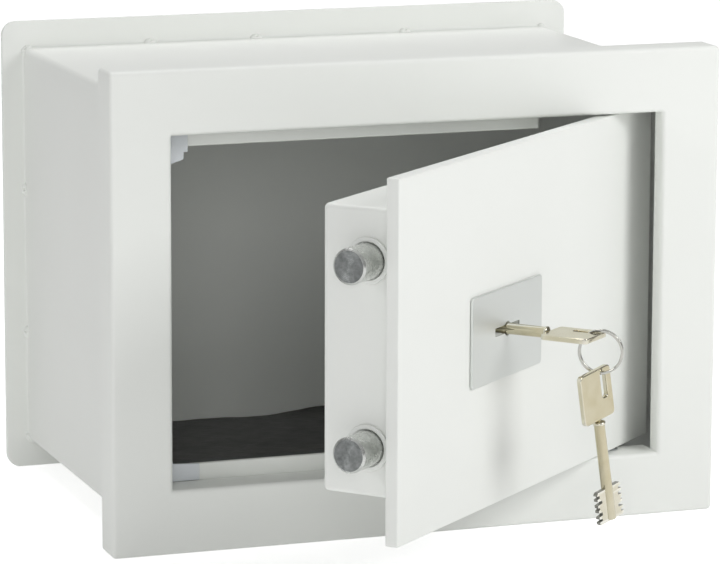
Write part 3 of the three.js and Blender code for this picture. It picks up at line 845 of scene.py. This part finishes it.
KEY_POINT = Vector((KEY_CENTRE[0], panel_front, KEY_CENTRE[1]))
eye_bar = -KEY_OUT - 2 * BOW_HALF[1] + EYE_BAR / 2
ring_centre = KEY_POINT + Vector((7.8, eye_bar, BOW_THICK / 2 + 1.2 - RING_R))
in_lock = Matrix.Translation(KEY_POINT + Vector((0, -KEY_OUT, 0))) @ Matrix.Rotation(math.pi / 2, 4, "X")
spare_turn = (Matrix.Rotation(SPARE_TILT[0], 4, "X") @ Matrix.Rotation(SPARE_TILT[1], 4, "Y")
              @ Matrix.Rotation(SPARE_TILT[2], 4, "Z"))
eye_top = Vector((EYE_X, 0.0, 2 * BOW_HALF[1] - EYE_BAR - 1.1))
hanging = Matrix.Translation(ring_centre + Vector((0, 0, -RING_R)) - spare_turn @ eye_top) @ spare_turn

# The notches are milled after plating, so their walls are plain grey steel.
milled_steel = steel("milled_key_steel", "A3A39C", "82827C", 0.3, 0.45)
lock_key = piece("key_in_lock", key_skins(), nickel, "key", ["key"], from_key(in_lock), second=milled_steel)
soften(lock_key, KEY_BEVEL)
spare = piece("key_spare", key_skins(), nickel, "spare_key", ["spare_key"], from_key(hanging),
              second=milled_steel)
soften(spare, KEY_BEVEL)

# ---- Split ring ---------------------------------------------------------------------------------------
# Two turns of flattened spring wire lying side by side, crossing over in one place, bright nickel plated.
WIRE_HALF = np.array([0.62, 0.82])
SIDE_STEP = 0.66
CROSSING = math.radians(22)
RING_START = math.pi / 3
DRAW_MM = 3.0

bright_nickel, tree, shader = start_material("bright_nickel_wire", Metallic=1.0, Roughness=0.16)
place = put(tree, "ShaderNodeTexCoord").outputs["Object"]
draw = put(tree, "ShaderNodeTexNoise", {"Vector": place, "Scale": 1000 / DRAW_MM, "Detail": 2.0})
tone = put(tree, "ShaderNodeMix",
           {"Factor": draw.outputs["Fac"], MIX_A: linear("B9B9B4"), MIX_B: linear("D6D5CE")},
           data_type="RGBA")
tree.links.new(tone.outputs[2], shader.inputs["Base Color"])


def ring_rows():
    """The wire's rounded section carried round nearly two turns. It lies on one side for the first turn,
    crosses smoothly, and lies on the other side for the second."""
    angle = np.linspace(CROSSING, 4 * math.pi - CROSSING, 220)
    step = np.clip((angle - 2 * math.pi) / CROSSING, -1, 1)
    sideways = SIDE_STEP * np.sin(step * math.pi / 2)
    section = outline(WIRE_HALF, 0.3, arc=4, side=2)
    radius = RING_R + section[None, :, 1]
    side = sideways[:, None] + section[None, :, 0]
    along = radius * np.cos(angle - RING_START)[:, None]
    height = radius * np.sin(angle - RING_START)[:, None]
    flat = np.stack([along, side, height], -1)
    spin = np.array(Matrix.Rotation(RING_TURN, 3, "Z"))
    return flat @ spin.T + np.array(ring_centre)


piece("split_ring", [skin(ring_rows())], bright_nickel, "key_ring", ["key_ring"], on_door)

# ---- Working parts inside -----------------------------------------------------------------------------
# Pins, washers, studs, bolt bar and lever lock keep their made shapes: turned steel, zinc-plated sheet and
# studs, and levers stamped from brass.
STAMPING_MM = 12.0

brass, tree, shader = start_material("stamped_brass", Metallic=1.0, Roughness=0.32)
place = put(tree, "ShaderNodeTexCoord").outputs["Object"]
stain = put(tree, "ShaderNodeTexNoise", {"Vector": place, "Scale": 1000 / STAMPING_MM, "Detail": 4.0})
tone = put(tree, "ShaderNodeMix",
           {"Factor": stain.outputs["Fac"], MIX_A: linear("B08F48"), MIX_B: linear("C6A65C")},
           data_type="RGBA")
tree.links.new(tone.outputs[2], shader.inputs["Base Color"])

finishes = {
    "powder_coat_white": white_coat, "pale_primer": primer, "felt_grey": felt, "satin_aluminium": satin,
    "turned_steel": turned_steel, "zinc_plate": zinc, "lever_brass": brass, "nickel_plate": nickel,
}
for node, obj in frame["nodes"].items():
    obj.data.materials.clear()
    obj.data.materials.append(finishes[slots[node]])

# ---- Studio -------------------------------------------------------------------------------------------
# A white paper floor that stays white to the horizon, soft boxes in front, left, right and above, and a
# surround that is brighter overhead.
FLOOR_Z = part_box("front_frame")[0][2]
FLOOR_HALF = 12.0
FLOOR_BOUNCE = 0.23  # share of the floor's own glow that lights the safe
AIM = (0.0, -0.2, 0.0)
AIM_DOWN = (-0.1, -0.3, 0.0)

floor_mesh = bpy.data.meshes.new("floor")
signs = ((-1, -1), (1, -1), (1, 1), (-1, 1))
corners = [(side * FLOOR_HALF, end * FLOOR_HALF, FLOOR_Z) for side, end in signs]
floor_mesh.from_pydata(corners, [], [(0, 1, 2, 3)])
floor = bpy.data.objects.new("floor", floor_mesh)
bpy.context.scene.collection.objects.link(floor)
paper, tree, shader = start_material("white_paper", Base_Color=linear("F4F4F4"), Roughness=0.9,
                                     Emission_Color=linear("FFFFFF"))
place = put(tree, "ShaderNodeTexCoord").outputs["Object"]
distance = put(tree, "ShaderNodeVectorMath", {0: place}, operation="LENGTH")
glow = put(tree, "ShaderNodeMapRange",
           {"Value": distance.outputs["Value"], "From Min": 0.3, "From Max": 2.0, "To Min": 0.6,
            "To Max": 0.8})
seen = put(tree, "ShaderNodeLightPath").outputs["Is Camera Ray"]
share = put(tree, "ShaderNodeMapRange", {"Value": seen, "To Min": FLOOR_BOUNCE, "To Max": 1.0})
strength = put(tree, "ShaderNodeMath", {0: glow.outputs["Result"], 1: share.outputs["Result"]},
               operation="MULTIPLY")
tree.links.new(strength.outputs["Value"], shader.inputs["Emission Strength"])
floor_mesh.materials.append(paper)


def soft_light(name, place, target, size, power):
    """A square area light at a place, facing a target."""
    data = bpy.data.lights.new(name, "AREA")
    data.shape = "SQUARE"
    data.size = size
    data.energy = power
    light = bpy.data.objects.new(name, data)
    aim = Vector(target) - Vector(place)
    light.rotation_euler = aim.to_track_quat("-Z", "Y").to_euler()
    light.location = place
    bpy.context.scene.collection.objects.link(light)


soft_light("front_light", (-0.8, -2.6, 0.6), AIM, 0.8, 7.0)
soft_light("left_light", (-2.3, -1.2, 0.6), AIM, 0.8, 6.6)
soft_light("right_light", (0.92, -1.2, 0.78), AIM, 0.6, 9.0)
soft_light("top_light", (-0.2, 0.7, 2.0), AIM_DOWN, 1.2, 20.0)
soft_light("overhead_light", (-0.2, -0.9, 2.2), AIM_DOWN, 1.6, 2.5)

world = bpy.data.worlds.new("surround")
world.use_nodes = True
tree = world.node_tree
sky = put(tree, "ShaderNodeSeparateXYZ", {"Vector": put(tree, "ShaderNodeTexCoord").outputs["Generated"]})
ceiling = put(tree, "ShaderNodeMapRange",
              {"Value": sky.outputs["Z"], "From Min": 0.0, "From Max": 0.7, "To Min": 0.13, "To Max": 0.32})
tree.links.new(ceiling.outputs["Result"], tree.nodes["Background"].inputs["Strength"])
tree.nodes["Background"].inputs["Color"].default_value = linear("FFFFFF")
bpy.context.scene.world = world
